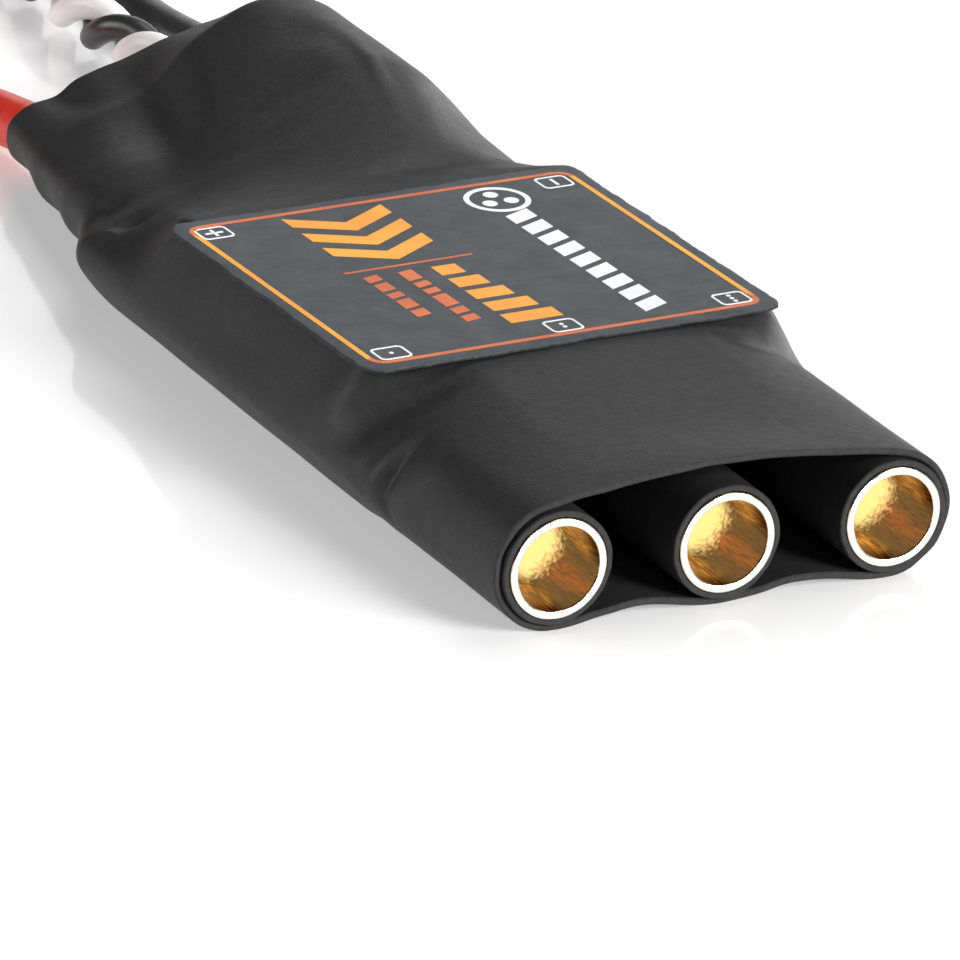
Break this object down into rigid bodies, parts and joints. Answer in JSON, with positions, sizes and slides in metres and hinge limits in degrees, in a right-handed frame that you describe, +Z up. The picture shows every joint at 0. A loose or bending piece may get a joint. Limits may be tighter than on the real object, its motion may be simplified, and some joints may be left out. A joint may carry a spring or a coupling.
{
  "type": "electronic speed controller",
  "caption": "Slim brushless-motor speed controller in a black heat-shrink sleeve, with round motor sockets in front and power and signal leads behind.",
  "frame": {"origin": "under the middle of the body, on the surface it lies on, leads left out", "axes": "+Z up out of the labelled face, the sockets face -Y, the leads leave towards +Y, +X to the right of the sockets seen from behind them"},
  "size_m": [0.0216, 0.1187, 0.0088],
  "materials": {
    "heat_shrink": "matte charcoal-black shrink tube with a fine grain",
    "label_film": "satin slate-grey printed film",
    "socket_gold": "gold-plated brass, polished ring face",
    "spreader_aluminium": "milled, satin",
    "thermal_pad": "soft silicone pad",
    "board_laminate": "green solder mask",
    "chip_epoxy": "moulded epoxy",
    "ceramic_block": "sintered, with tinned ends",
    "solder_tin": "bright tinned",
    "capacitor_wrap": "gloss shrink wrap on an aluminium can",
    "bung_rubber": "matte rubber",
    "red_silicone": "satin silicone insulation",
    "black_silicone": "satin silicone insulation",
    "white_silicone": "satin silicone insulation",
    "connector_nylon": "moulded nylon",
    "tie_fabric": "woven hook-and-loop strap"
  },
  "bodies": {
    "root": {"heat_shrink_sleeve": "heat_shrink", "top_label": "label_film", "power_board": "board_laminate", "heat_spreader_plate": "spreader_aluminium", "thermal_pad": "thermal_pad", "microcontroller": "chip_epoxy", "voltage_regulator": "chip_epoxy", "current_shunt": "chip_epoxy", "ceramic_resonator": "ceramic_block", "bulk_capacitor": "capacitor_wrap", "capacitor_bung": "bung_rubber", "capacitor_lead_positive": "solder_tin", "capacitor_lead_negative": "solder_tin", "solder_joint_positive": "solder_tin", "solder_joint_negative": "solder_tin", "solder_joint_signal": "solder_tin", "solder_joint_ground": "solder_tin", "power_lead_red": "red_silicone", "power_lead_black": "black_silicone", "signal_wire_white": "white_silicone", "signal_wire_black": "black_silicone", "lead_hank": "black_silicone", "hank_tie": "tie_fabric", "signal_connector": "connector_nylon", "signal_contact": "socket_gold", "ground_contact": "socket_gold", "motor_socket_a": "socket_gold", "socket_sleeve_a": "heat_shrink", "motor_socket_b": "socket_gold", "socket_sleeve_b": "heat_shrink", "motor_socket_c": "socket_gold", "socket_sleeve_c": "heat_shrink", "mosfet_1": "chip_epoxy", "bypass_capacitor_1": "ceramic_block", "mosfet_2": "chip_epoxy", "bypass_capacitor_2": "ceramic_block", "mosfet_3": "chip_epoxy", "bypass_capacitor_3": "ceramic_block", "mosfet_4": "chip_epoxy", "bypass_capacitor_4": "ceramic_block", "mosfet_5": "chip_epoxy", "bypass_capacitor_5": "ceramic_block", "mosfet_6": "chip_epoxy", "bypass_capacitor_6": "ceramic_block", "gate_driver_1": "chip_epoxy", "gate_driver_2": "chip_epoxy", "gate_driver_3": "chip_epoxy"}
  },
  "joints": []
}
